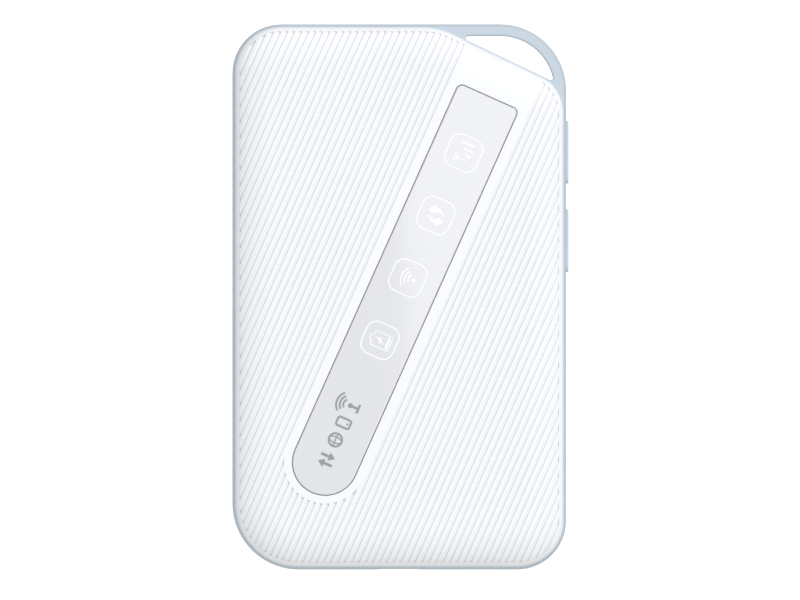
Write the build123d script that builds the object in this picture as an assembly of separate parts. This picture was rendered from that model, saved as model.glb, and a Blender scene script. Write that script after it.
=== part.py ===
from build123d import *
import math
import os

# A pocket mobile hotspot lying on its back, in millimetres.
# X runs across it, Y along it and Z out of its front face; the origin is the middle of the back face.

# Case
body_width = 60.0
body_length = 98.0
body_height = 13.6
back_depth = 3.4  # height of the back cover's share of the case
front_depth = 3.4  # height of the front cover's share
corner_small = 8.8  # upper left and lower right corners
corner_large = 11.9  # upper right and lower left corners
side_bulge = 0.45  # how far the middle frame's side swells
frame_wall = 1.8
front_wall = 1.2
back_wall = 1.1
cover_ledge = 0.6  # the covers' outline lies this far inside the frame's
roll_width = 6.5  # width of the covers' rounded-off border
roll_rise = 3.3
lip_wall = 0.8
lip_height = 1.0
lip_root = 0.9  # how far the lips run on inside their covers
lip_gap = 0.15
hair = 0.01  # a cut runs this far past a face that it shares

# Lanyard loop, at the corner that the covers leave out
loop_reach_x = 23.93  # where the cut meets the top edge, from the right side
loop_reach_y = 11.46  # where it meets the right side, from the top edge
loop_bar = 2.1
loop_corner = 0.45
loop_rounding = 0.3
cut_ledge = 0.16  # between the hole and the covers, along the cut
cut_top_radius = 12.5
cut_side_radius = cover_ledge + roll_width + 0.7

# Window
window_tilt = 24.1  # degrees from the long axis
window_half_width = 6.0
window_from_bottom = 13.3  # between the round end and the case's lower edge
window_from_cut = 7.34  # between the straight end and the loop's hole
window_corner = 1.2
lens_thickness = 0.8
lens_sink = 0.05
lens_gap = 0.18
lens_chamfer = 0.12
tape_thickness = 0.15
tape_width = 1.1
window_seat = 1.05  # thickness of the cover under the window
window_seat_margin = 1.2
lamp_pitch = 12.26
lamp_from_end = 11.24  # the highest pictogram, from the window's straight end
lamp_count = 4
lamp_width = 1.6
lamp_length = 0.8
lamp_height = 0.6
lamp_corner = 0.15
light_hole = 5.6
light_hole_corner = 1.6
light_well = 6.2
light_well_corner = 1.2
light_strip_width = 8.4
light_strip_corner = 1.0
light_strip_margin = 4.5  # beyond the first and last lamps
film_thickness = 0.15
film_gap = 0.05

# Side keys
key_length = 11.3
key_height = 2.5
key_proud = 0.43
key_travel = 0.3
key_gap = 0.12
key_flange = 0.8
key_flange_thickness = 0.8
key_rounding = 0.28
key_flat = 0.15  # half of the straight stretch at a key's ends
key_room = 0.4  # round the flange, inside the frame
keys_from_top = {"power": 23.04, "function": 38.9}

# Board and bay
floor_thickness = 0.7
floor_gap = 0.25  # over the battery
floor_room = 0.3  # round the parts that stand in the floor's openings
board_thickness = 0.8
board_inset = 3.4
boss_radius = 1.9
part_gap = 0.1  # between board parts and what lies over them

# Battery
battery_thickness = 4.7
battery_from_side = 7.0
battery_from_bottom = 22.0
battery_from_top = 14.0
battery_cap_length = 2.2
battery_rounding = 0.9
battery_gap = 0.35
battery_drop = 0.25  # between the battery and the back cover
bay_wall = 0.8
bay_rise = 0.4  # between the bay's wall and the back cover
pad_width = 2.4
pad_height = 2.6
pad_pitch = 3.6
pad_thickness = 0.15
contact_x = 6.0
contact_count = 3
contact_depth = 4.2
contact_margin = 0.5  # beyond the outer pads
contact_height = 3.2
blade_width = 1.0
blade_thickness = 0.2
blade_foot = 2.4  # how far a blade reaches into its block
blade_slot_height = 2.4
blade_room = 0.25  # each side of a blade
blade_gap = 0.1  # between a blade's nose and its pad
blade_drop = 1.0  # of a blade's foot, under its nose
blade_lower_bend = (0.6, -0.9)  # back from the bay's wall, and up from the nose
blade_upper_bend = (0.4, 1.0)
foam_width = 24.0
foam_length = 12.0
foam_x = 6.0
foam_y = 18.0
foam_gap = 0.05
foam_corner = 1.0

# Socket, card holder and switches
port_width = 8.05  # opening in the frame
port_height = 2.9
port_flat = 0.35  # half of the straight stretch at the opening's ends
port_past_wall = 0.5
socket_width = 7.5
socket_height = 2.45
socket_depth = 5.2
socket_sink = 0.6
socket_wall = 0.25
socket_back = 0.4
socket_back_room = 0.4
socket_bevel = (0.75, 1.0)
socket_rounding = 0.3
socket_room = 0.5  # each side, through the frame's floor and the back cover's lip
tongue_width = 3.8
tongue_thickness = 0.6
tongue_drop = 0.1  # of its lower face, under the frame's middle
tongue_from_mouth = 0.7
tongue_pins = 5
tongue_pin_width = 0.3
tongue_pin_reach = (0.9, 3.2)  # from the socket's mouth
tongue_pin_depth = 0.08
tongue_pin_pitch = 0.65
card_x = -12.8
card_from_bottom = 13.0
card_holder_width = 14.4
card_holder_length = 14.0
card_holder_height = 1.4
card_holder_wall = 0.2
card_base = 0.3
card_base_hole = 8.0
card_thumb_radius = 3.2
card_reach = 17.0  # room beside the holder to slide a card in
switch_depth = 1.9
switch_length = 4.6
switch_height = 1.8
switch_rounding = 0.2
switch_gap = 0.2  # between a switch and the board's edge
plunger_width = 2.2
plunger_height = 0.9
plunger_sink = 0.7  # how far a plunger reaches in from the board's edge
plunger_gap = 0.05
plunger_room = 0.1  # behind a plunger that is pressed
reset_from_side = 13.5
reset_from_bottom = 13.0
reset_size = 3.2
reset_height = 1.3
reset_travel = 0.25
reset_radius = 0.65
reset_proud = 0.4
reset_sink = 0.6
reset_corner = 0.3
reset_room = 0.8  # round the switch, in the floor

# Back cover's hooks and finger notch
hook_width = 6.0
end_hook_width = 5.0
end_hook_x = 13.5
side_hooks_from_bottom = (23.0, 47.0, 67.0)
notch_from_bottom = 30.0
notch_length = 8.0
notch_depth = 0.7
notch_height = 0.8

# Parts on the board's front: x and y size and height
shield_height = 1.7
shield_wall = 0.2
shield_rounding = 0.35
left_shield_size = (15.0, 24.0)
left_shield_from_side = 5.2
left_shield_from_top = 24.0
right_shield_size = (15.6, 21.0)
right_shield_from_side = 5.7
right_shield_from_bottom = 23.5
chip_shift = 4.5  # of the upper chip under each shield, from the shield's middle
lower_chip_shift = 6.5
modem_chip_size = (11.0, 11.0, 1.0)
memory_chip_size = (9.0, 7.0, 0.9)
radio_chip_size = (7.0, 7.0, 0.9)
power_chip_size = (5.0, 5.0, 0.9)
coil_size = (4.0, 4.0, 1.9)
coil_count = 3
coil_pitch = 5.2
coil_from_edge = 6.4
coil_from_battery = 6.5
chip_chamfer = 0.12
pad_share = 2 / 3  # of the shield that the heat-conducting pad covers, each way
thermal_pad_corner = 0.6

# Aerials, just inside the board's ends
aerial_from_end = 4.2
main_aerial_size = (23.0, 5.0, 2.0)
main_aerial_x = -18.0
wireless_aerial_size = (13.0, 4.2, 1.8)
aerial_slot = (0.6, 2.6, 0.25)
aerial_slot_pitch = 4.0
aerial_slot_start = 2.6
aerial_slot_shift = 0.9  # of the slots in turn, each side of the aerial's middle
aerial_corner = 0.8
aerial_from_boss = 0.6
main_clip_from_left = 6.0
wireless_clip_from_right = 3.0
clip_size = (2.4, 1.4, 1.4)
clip_thickness = 0.25
clip_back = 0.3
clip_gap = 0.9  # between an aerial and its spring clip

# Screws
screw_radius = 0.8
screw_head_radius = 1.4
screw_head_height = 0.8
screw_head_rounding = 0.3
screw_gap = 0.1  # round a screw, in the frame
screw_board_gap = 0.15  # and in the board
screw_tip_room = 1.2  # between a screw's tip and the front cover's wall
screw_pilot_gap = 0.02
screw_pilot_room = 0.3
screw_slot = (1.5, 0.32)
screw_slot_depth = 0.45
screw_inset = 7.5
screw_cut_inset = 3.6  # the fourth screw, from the cut
screw_cut_x = 18.0  # and from the right side

half_width = body_width / 2
half_length = body_length / 2
frame_top = body_height - front_depth
frame_height = frame_top - back_depth
frame_middle = back_depth + frame_height / 2
front_inner = body_height - front_wall
board_back = frame_middle + socket_height / 2
board_front = board_back + board_thickness
battery_bottom = back_wall + battery_drop
battery_top = battery_bottom + battery_thickness
floor_back = battery_top + floor_gap
floor_front = floor_back + floor_thickness
board_edge = half_width - board_inset
battery_half_width = half_width - battery_from_side
battery_low_y = battery_from_bottom - half_length
battery_high_y = half_length - battery_from_top
screw_tip = front_inner - screw_tip_room
card_y = card_from_bottom - half_length
reset_x = half_width - reset_from_side
reset_y = reset_from_bottom - half_length
key_places = {name: half_length - drop for name, drop in keys_from_top.items()}
switch_x_low = board_edge - switch_gap - switch_depth
plunger_low_z = board_back - switch_height / 2 - plunger_height / 2
flange_x = half_width - frame_wall - lip_gap - key_flange_thickness
contact_half_width = (contact_count - 1) / 2 * pad_pitch + pad_width / 2 + contact_margin
contact_wall_y = battery_low_y - battery_gap - bay_wall
contact_offsets = [(k - (contact_count - 1) / 2) * pad_pitch for k in range(contact_count)]
battery_middle_z = (battery_bottom + battery_top) / 2
seat_top = body_height - lens_sink - lens_thickness - tape_thickness
seat_bottom = seat_top - window_seat


def slab(outline, low, high):
    """A flat piece between two heights."""
    return Pos(0, 0, low) * extrude(outline, high - low)


def block(x_low, x_high, y_low, y_high, z_low, z_high):
    """A box given by its limits."""
    size = Box(x_high - x_low, y_high - y_low, z_high - z_low)
    return Pos((x_low + x_high) / 2, (y_low + y_high) / 2, (z_low + z_high) / 2) * size


def rod(x, y, radius, low, high):
    return Pos(x, y, (low + high) / 2) * Cylinder(radius, high - low)


def cut_normal():
    """The cut's direction and its distance from the case's middle, at the edge of the loop's hole."""
    span = math.hypot(loop_reach_x, loop_reach_y)
    nx = loop_reach_y / span
    ny = loop_reach_x / span
    return nx, ny, nx * half_width + ny * (half_length - loop_reach_y)


def cut_line(inset):
    """The cut's end points on the outline that lies inset inside the case."""
    nx, ny, reach = cut_normal()
    reach -= inset - cover_ledge + cut_ledge
    y_top = half_length - inset
    x_side = half_width - inset
    return ((reach - ny * y_top) / nx, y_top), (x_side, (reach - nx * x_side) / ny)


def case_wire(inset):
    """The whole case's outline, with the loop."""
    x = half_width - inset
    y = half_length - inset
    corners = [(-x, y), (x, y), (x, -y), (-x, -y)]
    radii = [corner_small - inset, corner_large - inset] * 2
    return FilletPolyline(*corners, radius=radii, close=True)


def cover_wire(inset):
    """The covers' outline, with the loop's corner cut off."""
    x = half_width - inset
    y = half_length - inset
    on_top, on_side = cut_line(inset)
    corners = [(-x, y), on_top, on_side, (x, -y), (-x, -y)]
    radii = [corner_small, cut_top_radius, cut_side_radius, corner_small, corner_large]
    return FilletPolyline(*corners, radius=[r - inset for r in radii], close=True)


def case_face(inset):
    return make_face(case_wire(inset))


def cover_face(inset):
    return make_face(cover_wire(inset))


def run_round(profile, path):
    """Sweeps a profile of (inwards, up) points round an outline."""
    section = Plane(origin=path @ 0, x_dir=(1, 0, 0), z_dir=(0, -1, 0)) * profile
    return sweep(section, path=path)


def bulge_cutter():
    """What the swollen side leaves of a straight one."""
    outside = Polyline((side_bulge, frame_height), (-1, frame_height), (-1, 0), (side_bulge, 0))
    swell = ThreePointArc((side_bulge, 0), (0, frame_height / 2), (side_bulge, frame_height))
    return Pos(0, 0, back_depth) * run_round(make_face(outside + swell), case_wire(0))


def dome(inset, height, wall):
    """A cover's body with its rolled-off border, open side down at Z 0."""
    width = roll_width - wall
    rise = roll_rise - wall
    start = height - rise
    outside = Polyline((0, start), (-1, start), (-1, height + 1), (width, height + 1), (width, height))
    roll = EllipticalCenterArc((width, start), width, rise, start_angle=90, arc_size=90)
    cutter = run_round(make_face(outside + roll), cover_wire(inset))
    return extrude(cover_face(inset), height) - cutter


def lip(low, high, outer):
    """A ring inside the frame's wall."""
    inner = frame_wall + lip_gap + lip_wall
    return slab(cover_face(outer) - cover_face(inner), low, high)


def window_ends():
    """How far the window reaches from the case's middle: down to its round end and up to its straight one."""
    tilt = math.radians(window_tilt)
    centre = (half_length - window_from_bottom - window_half_width) / math.cos(tilt)
    nx, ny, reach = cut_normal()
    cut = reach / (nx * math.sin(tilt) + ny * math.cos(tilt))
    return centre + window_half_width, cut - window_from_cut


def window_face(margin):
    """The window's outline: one end round, the other straight."""
    low, high = window_ends()
    half = window_half_width + margin
    centre = low - window_half_width
    high += margin
    sides = Polyline((half, -centre), (half, high), (-half, high), (-half, -centre))
    end = ThreePointArc((-half, -centre), (0, -centre - half), (half, -centre))
    face = make_face(sides + end)
    corner = window_corner + max(margin, -window_corner / 2)
    face = fillet(face.vertices().sort_by(Axis.Y)[-2:], corner)
    return Rot(0, 0, -window_tilt) * face


def along_window(distance):
    tilt = math.radians(window_tilt)
    return distance * math.sin(tilt), distance * math.cos(tilt)


def lamp_distances():
    """The lamps' places along the window, the highest first."""
    last = window_ends()[1] - lamp_from_end
    return [last - lamp_pitch * k for k in range(lamp_count)]


def lamp_places():
    return [along_window(distance) for distance in lamp_distances()]


def turned_pad(x, y, width, length, corner):
    """A rounded rectangle turned with the window."""
    return Pos(x, y) * (Rot(0, 0, -window_tilt) * RectangleRounded(width, length, corner))


def screw_places():
    x = half_width - screw_inset
    y = half_length - screw_inset
    near_cut = half_width - screw_cut_x
    top, side = cut_line(0)
    slope = (side[1] - top[1]) / (side[0] - top[0])
    cut_y = top[1] + slope * (near_cut - top[0])
    drop = screw_cut_inset + board_inset
    return [(-x, -y), (x, -y), (-x, y), (near_cut, cut_y - drop * math.hypot(1, slope))]


def make_shell(depth, wall):
    """A cover's hollow shell, open side down at Z 0."""
    inside = dome(cover_ledge + wall, depth - wall, wall)
    return dome(cover_ledge, depth, 0) - inside


def make_front_cover():
    cover = Pos(0, 0, frame_top) * make_shell(front_depth, front_wall)
    into_wall = front_inner + front_wall / 2
    cover += slab(window_face(window_seat_margin), seat_bottom, into_wall)
    cover += lip(frame_top, frame_top + lip_root, cover_ledge + front_wall / 2)
    cover += lip(frame_top - lip_height, frame_top, frame_wall + lip_gap)
    for x, y in screw_places():
        cover += rod(x, y, boss_radius, board_front, into_wall)
    for x, y in screw_places():
        cover -= rod(x, y, screw_radius + screw_pilot_gap, board_front, screw_tip + screw_pilot_room)
    cover -= slab(window_face(0), seat_top, body_height + 1)
    for x, y in lamp_places():
        hole = turned_pad(x, y, light_hole, light_hole, light_hole_corner)
        cover -= slab(hole, seat_bottom - 1, seat_top + 1)
    return cover


def make_window_lens():
    top = body_height - lens_sink
    lens = slab(window_face(-lens_gap), top - lens_thickness, top)
    return chamfer(lens.faces().sort_by(Axis.Z)[-1].edges(), lens_chamfer)


def make_lens_tape():
    ring = window_face(-lens_gap) - window_face(-lens_gap - tape_width)
    return slab(ring, seat_top, seat_top + tape_thickness)


def loop_hole(low, high):
    """The space between the bar and the cut, as a solid."""
    on_top, on_side = cut_line(cover_ledge - cut_ledge)
    corner = Polyline(on_top, (half_width, half_length), on_side, on_top)
    hole = slab(make_face(corner) & case_face(loop_bar), low, high)
    return fillet(hole.edges().filter_by(Axis.Z), loop_corner)


def key_opening(y, gap):
    """The keys' rounded outline, seen from the side."""
    outline = RectangleRounded(key_length + 2 * gap, key_height + 2 * gap, key_height / 2 - key_flat)
    return Plane(origin=(0, y, frame_middle), x_dir=(0, 1, 0), z_dir=(1, 0, 0)) * outline


def battery_outline(margin):
    x = battery_half_width + margin
    length = battery_high_y - battery_low_y + 2 * margin
    return Pos(0, (battery_high_y + battery_low_y) / 2) * Rectangle(2 * x, length)


def make_mid_frame():
    frame = slab(case_face(0), back_depth, frame_top) - bulge_cutter()
    frame -= slab(cover_face(frame_wall), floor_front, frame_top + 1)
    frame -= slab(cover_face(frame_wall), back_depth - 1, floor_back)
    frame -= loop_hole(back_depth - 1, frame_top + 1)
    hole_edges = frame.edges().filter_by(Plane.XY).filter_by(in_the_loop)
    frame = fillet(hole_edges, loop_rounding)
    bay = battery_outline(battery_gap + bay_wall) - battery_outline(battery_gap)
    frame += slab(bay, back_wall + bay_rise, floor_back)
    for x, y in screw_places():
        frame += rod(x, y, boss_radius, floor_front, board_back)
    return frame - frame_cuts()


def in_the_loop(edge):
    """True on the loop hole's rims."""
    middle = edge.center()
    on_top, on_side = cut_line(cover_ledge - cut_ledge - hair)
    slope = (on_side[1] - on_top[1]) / (on_side[0] - on_top[0])
    above = middle.Y > on_top[1] + slope * (middle.X - on_top[0]) - 2 * hair
    inside = middle.X < half_width - loop_bar + hair and middle.Y < half_length - loop_bar + hair
    from_corner = math.hypot(middle.X - (half_width - corner_large), middle.Y - (half_length - corner_large))
    in_corner = middle.X > half_width - corner_large and middle.Y > half_length - corner_large
    return above and inside and (not in_corner or from_corner < corner_large - loop_bar + hair)


def frame_cuts():
    """Openings through the middle frame's wall, floor and bay."""
    cuts = port_cut()
    for y in key_places.values():
        wall_x = half_width - frame_wall
        cuts += extrude(Pos(wall_x - 0.5, 0, 0) * key_opening(y, key_gap), frame_wall + 2)
        room = key_length / 2 + key_flange + key_room
        cuts += floor_cut(switch_x_low - floor_room, wall_x, y - room, y + room)
    half_card = card_holder_width / 2 + floor_room
    card_end = card_y + card_holder_length / 2 + card_reach
    card_start = card_y - card_holder_length / 2 - floor_room
    cuts += floor_cut(card_x - half_card, card_x + half_card, card_start, card_end)
    cuts += rod(reset_x, reset_y, reset_size / 2 + reset_room, floor_back - 1, floor_front + 1)
    for x, y in screw_places():
        cuts += rod(x, y, screw_radius + screw_gap, floor_back - 1, board_back + 1)
    return cuts + contact_room()


def floor_cut(x_low, x_high, y_low, y_high):
    return block(x_low, x_high, y_low, y_high, floor_back - hair, floor_front + 1)


def port_cut():
    """The opening for the charging plug, and room for its socket in the floor."""
    outline = RectangleRounded(port_width, port_height, port_height / 2 - port_flat)
    wall = Plane(origin=(0, -half_length - 1, frame_middle), x_dir=(1, 0, 0), z_dir=(0, -1, 0))
    socket_end = -half_length + socket_sink + socket_depth + socket_back_room
    half = socket_width / 2 + socket_room
    room = block(-half, half, frame_wall - half_length, socket_end, floor_back - 1, floor_front + 1)
    return extrude(wall * outline, -1 - frame_wall - port_past_wall) + room


def contact_room():
    """Room for the battery's contact block, through the bay's wall and the floor."""
    half = contact_half_width + floor_room
    x_low, x_high = contact_x - half, contact_x + half
    y_low = contact_wall_y - contact_depth - floor_room
    room = block(x_low, x_high, y_low, contact_wall_y + bay_wall, back_wall, floor_back)
    return room + floor_cut(x_low, x_high, y_low, contact_wall_y)


def make_key(y):
    cap = Pos(flange_x, 0, 0) * extrude(key_opening(y, 0), half_width + key_proud - flange_x)
    cap = fillet(cap.faces().sort_by(Axis.X)[-1].edges(), key_rounding)
    return cap + Pos(flange_x, 0, 0) * extrude(key_opening(y, key_flange), key_flange_thickness)


def make_side_switch(y):
    x_high = switch_x_low + switch_depth
    half = switch_length / 2
    body = block(switch_x_low, x_high, y - half, y + half, board_back - switch_height, board_back)
    body = fillet(body.edges().filter_by(Axis.Z), switch_rounding)
    x_low = board_edge - plunger_sink - key_travel - plunger_room
    half = plunger_width / 2 + plunger_gap
    z_low = plunger_low_z - plunger_gap
    z_high = z_low + plunger_height + 2 * plunger_gap
    return body - block(x_low, board_edge, y - half, y + half, z_low, z_high)


def make_plunger(y):
    half = plunger_width / 2
    x_low = board_edge - plunger_sink
    return block(x_low, flange_x, y - half, y + half, plunger_low_z, plunger_low_z + plunger_height)


def make_back_cover():
    cover = Pos(0, 0, back_depth) * mirror(make_shell(back_depth, back_wall), Plane.XY)
    cover += lip(back_depth - lip_root, back_depth, cover_ledge + back_wall / 2)
    cover += lip(back_depth, back_depth + lip_height, frame_wall + lip_gap) & hook_places()
    x = half_width - cover_ledge
    y = notch_from_bottom - half_length
    y_high = y + notch_length
    cover -= block(x - notch_depth, x + 1, y, y_high, back_depth - notch_height, back_depth + hair)
    half_port = socket_width / 2 + socket_room
    return cover - block(-half_port, half_port, -half_length, contact_wall_y, back_depth + hair, body_height)


def hook_places():
    """Bars across the case, where the back cover's lip is kept as hooks."""
    reach_x = half_width + 1
    reach_y = half_length + 1
    half = hook_width / 2
    places = block(-half, half, -reach_y, reach_y, 0, body_height)
    for x in (-end_hook_x, end_hook_x):
        places += block(x - end_hook_width / 2, x + end_hook_width / 2, -reach_y, reach_y, 0, body_height)
    for distance in side_hooks_from_bottom:
        y = distance - half_length
        places += block(-reach_x, reach_x, y - half, y + half, 0, body_height)
    return places


def make_battery():
    x = battery_half_width
    cap_y = battery_low_y + battery_cap_length
    pack = block(-x, x, cap_y, battery_high_y, battery_bottom, battery_top)
    pack = fillet(pack.edges().filter_by(Axis.Y), battery_rounding)
    cap = block(-x, x, battery_low_y, cap_y, battery_bottom, battery_top)
    cap = fillet(cap.edges().filter_by(Axis.Y), battery_rounding)
    pads = [make_pad(contact_x + offset) for offset in contact_offsets]
    for pad in pads:
        cap -= pad
    return {"battery_pack": pack, "battery_cap": cap, "battery_pads": Compound(pads)}


def make_pad(x):
    half = pad_width / 2
    low = battery_middle_z - pad_height / 2
    y = battery_low_y
    return block(x - half, x + half, y, y + pad_thickness, low, low + pad_height).solid()


def make_contacts():
    """The battery connector's insulator and its three bent blades."""
    half = contact_half_width
    low = battery_middle_z - contact_height / 2
    slot_low = battery_middle_z - blade_slot_height / 2
    y = contact_wall_y
    body = block(contact_x - half, contact_x + half, y - contact_depth, y, low, board_back)
    blades = []
    for offset in contact_offsets:
        x = contact_x + offset
        half_slot = blade_width / 2 + blade_room
        body -= block(x - half_slot, x + half_slot, y - blade_foot, y, slot_low, slot_low + blade_slot_height)
        blades.append(make_blade(x).solid())
    return {"contact_block": body, "contact_springs": Compound(blades)}


def make_blade(x):
    """A spring blade: a foot in the block and a nose just short of the battery's pad."""
    foot = contact_wall_y - blade_foot
    z = battery_middle_z
    points = [(foot, z - blade_drop), (contact_wall_y - blade_lower_bend[0], z + blade_lower_bend[1])]
    points.append((battery_low_y - blade_gap, z))
    points.append((contact_wall_y - blade_upper_bend[0], z + blade_upper_bend[1]))
    side = Plane(origin=(x - blade_width / 2, 0, 0), x_dir=(0, 1, 0), z_dir=(1, 0, 0))
    strip = make_face(offset(Polyline(*points), blade_thickness / 2))
    return extrude(side * strip, blade_width) & block(x - 1, x + 1, foot, battery_low_y, 0, body_height)


def make_main_board():
    board = slab(cover_face(board_inset), board_back, board_front)
    for x, y in screw_places():
        board -= rod(x, y, screw_radius + screw_board_gap, board_back - 1, board_front + 1)
    return board


def socket_profile(inset):
    """The charging socket's outline, wider towards the board."""
    half = socket_width / 2 - inset
    high = socket_height / 2 - inset
    across, up = socket_bevel
    points = [(half, high), (half, -high + up), (half - across, -high), (across - half, -high)]
    points += [(-half, -high + up), (-half, high)]
    outline = make_face(FilletPolyline(*points, radius=socket_rounding, close=True))
    mouth = Plane(origin=(0, -half_length + socket_sink, frame_middle), x_dir=(1, 0, 0), z_dir=(0, -1, 0))
    return mouth * outline


def make_socket():
    shell = extrude(socket_profile(0), -socket_depth)
    shell -= extrude(socket_profile(socket_wall), socket_back - socket_depth)
    mouth = -half_length + socket_sink
    half = tongue_width / 2
    low = frame_middle - tongue_drop
    back = mouth + socket_depth - socket_back
    tongue = block(-half, half, mouth + tongue_from_mouth, back, low, low + tongue_thickness)
    start, end = tongue_pin_reach
    half = tongue_pin_width / 2
    for k in range(tongue_pins):
        x = (k - (tongue_pins - 1) / 2) * tongue_pin_pitch
        tongue -= block(x - half, x + half, mouth + start, mouth + end, low, low + tongue_pin_depth)
    return {"usb_shell": shell, "usb_tongue": tongue}


def make_card_holder():
    half_x = card_holder_width / 2
    half_y = card_holder_length / 2
    x_low, x_high, y_low, y_high = card_x - half_x, card_x + half_x, card_y - half_y, card_y + half_y
    low = board_back - card_holder_height
    base_low = board_back - card_base
    wall = card_holder_wall
    hole = card_base_hole / 2
    base = block(x_low, x_high, y_low, y_high, base_low, board_back)
    base -= block(card_x - hole, card_x + hole, card_y - hole, card_y + hole, base_low - 1, board_back + 1)
    shell = block(x_low, x_high, y_low, y_high, low, base_low)
    shell -= block(x_low + wall, x_high - wall, y_low + wall, y_high, low + wall, base_low + 1)
    shell -= Pos(card_x, y_high, low) * Cylinder(card_thumb_radius, 1)
    return {"sim_base": base, "sim_shell": shell}


def make_reset():
    half = reset_size / 2
    low = board_back - reset_height
    body = block(reset_x - half, reset_x + half, reset_y - half, reset_y + half, low, board_back)
    body = fillet(body.edges().filter_by(Axis.Z), reset_corner)
    well_top = low + reset_sink + reset_travel + plunger_room
    body -= rod(reset_x, reset_y, reset_radius + plunger_gap, low - 1, well_top)
    plunger = rod(reset_x, reset_y, reset_radius, low - reset_proud, low + reset_sink)
    return {"reset_switch": body, "reset_plunger": plunger}


def left_shield_box():
    """The left shield's limits in X and Y."""
    x = left_shield_from_side - half_width
    y = half_length - left_shield_from_top
    return x, x + left_shield_size[0], y - left_shield_size[1], y


def right_shield_box():
    x = half_width - right_shield_from_side
    y = right_shield_from_bottom - half_length
    return x - right_shield_size[0], x, y, y + right_shield_size[1]


def make_shield(x_low, x_high, y_low, y_high):
    """A thin can soldered over its chips."""
    top = board_front + shield_height
    wall = shield_wall
    can = block(x_low, x_high, y_low, y_high, board_front, top)
    outer_edges = can.edges().filter_by(Axis.Z) + can.faces().sort_by(Axis.Z)[-1].edges()
    can = fillet(outer_edges, shield_rounding)
    return can - block(x_low + wall, x_high - wall, y_low + wall, y_high - wall, board_front, top - wall)


def make_chip(x, y, size):
    half_x, half_y, height = size[0] / 2, size[1] / 2, size[2]
    chip = block(x - half_x, x + half_x, y - half_y, y + half_y, board_front, board_front + height)
    return chamfer(chip.faces().sort_by(Axis.Z)[-1].edges(), chip_chamfer)


def make_chip_pair(box, upper_size, lower_size):
    """Two chips, one over the other, on the middle of a shield's floor."""
    x_low, x_high, y_low, y_high = box
    x, y = (x_low + x_high) / 2, (y_low + y_high) / 2
    return make_chip(x, y + chip_shift, upper_size), make_chip(x, y - lower_chip_shift, lower_size)


def make_board_parts():
    left = left_shield_box()
    right = right_shield_box()
    modem, memory = make_chip_pair(left, modem_chip_size, memory_chip_size)
    radio, power = make_chip_pair(right, radio_chip_size, power_chip_size)
    coil_y = battery_low_y - coil_from_battery
    coil_places = [board_edge - coil_from_edge - coil_pitch * k for k in range(coil_count)]
    return {
        "modem_shield": make_shield(*left),
        "modem_chip": modem,
        "memory_chip": memory,
        "radio_shield": make_shield(*right),
        "radio_chip": radio,
        "power_chip": power,
        "board_coils": Compound([make_chip(x, coil_y, coil_size).solid() for x in coil_places]),
    }


def make_thermal_pad():
    x_low, x_high, y_low, y_high = left_shield_box()
    trim_x = (x_high - x_low) * (1 - pad_share) / 2
    trim_y = (y_high - y_low) * (1 - pad_share) / 2
    low = board_front + shield_height
    high = front_inner - part_gap
    pad = block(x_low + trim_x, x_high - trim_x, y_low + trim_y, y_high - trim_y, low, high)
    return fillet(pad.edges().filter_by(Axis.Z), thermal_pad_corner)


def make_lights():
    """Lamps on the board, their wells, and the film between the wells and the cover."""
    film_top = seat_bottom - film_gap
    film_low = film_top - film_thickness
    distances = lamp_distances()
    x, y = along_window((distances[0] + distances[-1]) / 2)
    length = distances[0] - distances[-1] + 2 * light_strip_margin
    strip = turned_pad(x, y, light_strip_width, length, light_strip_corner)
    baffle = slab(strip, board_front + part_gap, film_low - film_gap)
    lamps = []
    for x, y in lamp_places():
        well = turned_pad(x, y, light_well, light_well, light_well_corner)
        baffle -= slab(well, board_front - 1, film_low + 1)
        lamp = turned_pad(x, y, lamp_width, lamp_length, lamp_corner)
        lamps.append(slab(lamp, board_front, board_front + lamp_height).solid())
    film = slab(strip, film_low, film_top)
    return {"status_lamps": Compound(lamps), "light_baffle": baffle, "light_film": film}


def make_aerial(x_low, y_low, size):
    """A flexible aerial folded over its plastic carrier, as one piece with slots between its tracks."""
    x_size, y_size, height = size
    low = board_front + part_gap
    body = block(x_low, x_low + x_size, y_low, y_low + y_size, low, low + height)
    body = fillet(body.edges().filter_by(Axis.Z), aerial_corner)
    slot_x, slot_y, depth = aerial_slot
    for k in range(int((x_size - aerial_slot_pitch + 1) // aerial_slot_pitch)):
        x = x_low + aerial_slot_start + aerial_slot_pitch * k
        y = y_low + y_size / 2 + aerial_slot_shift * (-1) ** k
        top = low + height
        body -= block(x - slot_x / 2, x + slot_x / 2, y - slot_y / 2, y + slot_y / 2, top - depth, top + 1)
    return body


def make_clip(x, y):
    """A bent spring clip that feeds an aerial, open on its left."""
    x_size, y_size, height = clip_size
    x_low, x_high = x - x_size / 2, x + x_size / 2
    low, high = board_front + clip_thickness, board_front + height - clip_thickness
    clip = block(x_low, x_high, y - y_size / 2, y + y_size / 2, board_front, board_front + height)
    return (clip - block(x_low - 1, x_high - clip_back, y - y_size, y + y_size, low, high)).solid()


def make_aerials():
    main_y = half_length - aerial_from_end - main_aerial_size[1]
    low_y = aerial_from_end - half_length
    right = half_width - screw_inset - boss_radius - aerial_from_boss
    low_x = right - wireless_aerial_size[0]
    reach = clip_gap + clip_size[1] / 2
    clips = [make_clip(main_aerial_x + main_clip_from_left, main_y - reach)]
    clips.append(make_clip(right - wireless_clip_from_right, low_y + wireless_aerial_size[1] + reach))
    return {
        "main_antenna": make_aerial(main_aerial_x, main_y, main_aerial_size),
        "wireless_antenna": make_aerial(low_x, low_y, wireless_aerial_size),
        "antenna_springs": Compound(clips),
    }


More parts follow.
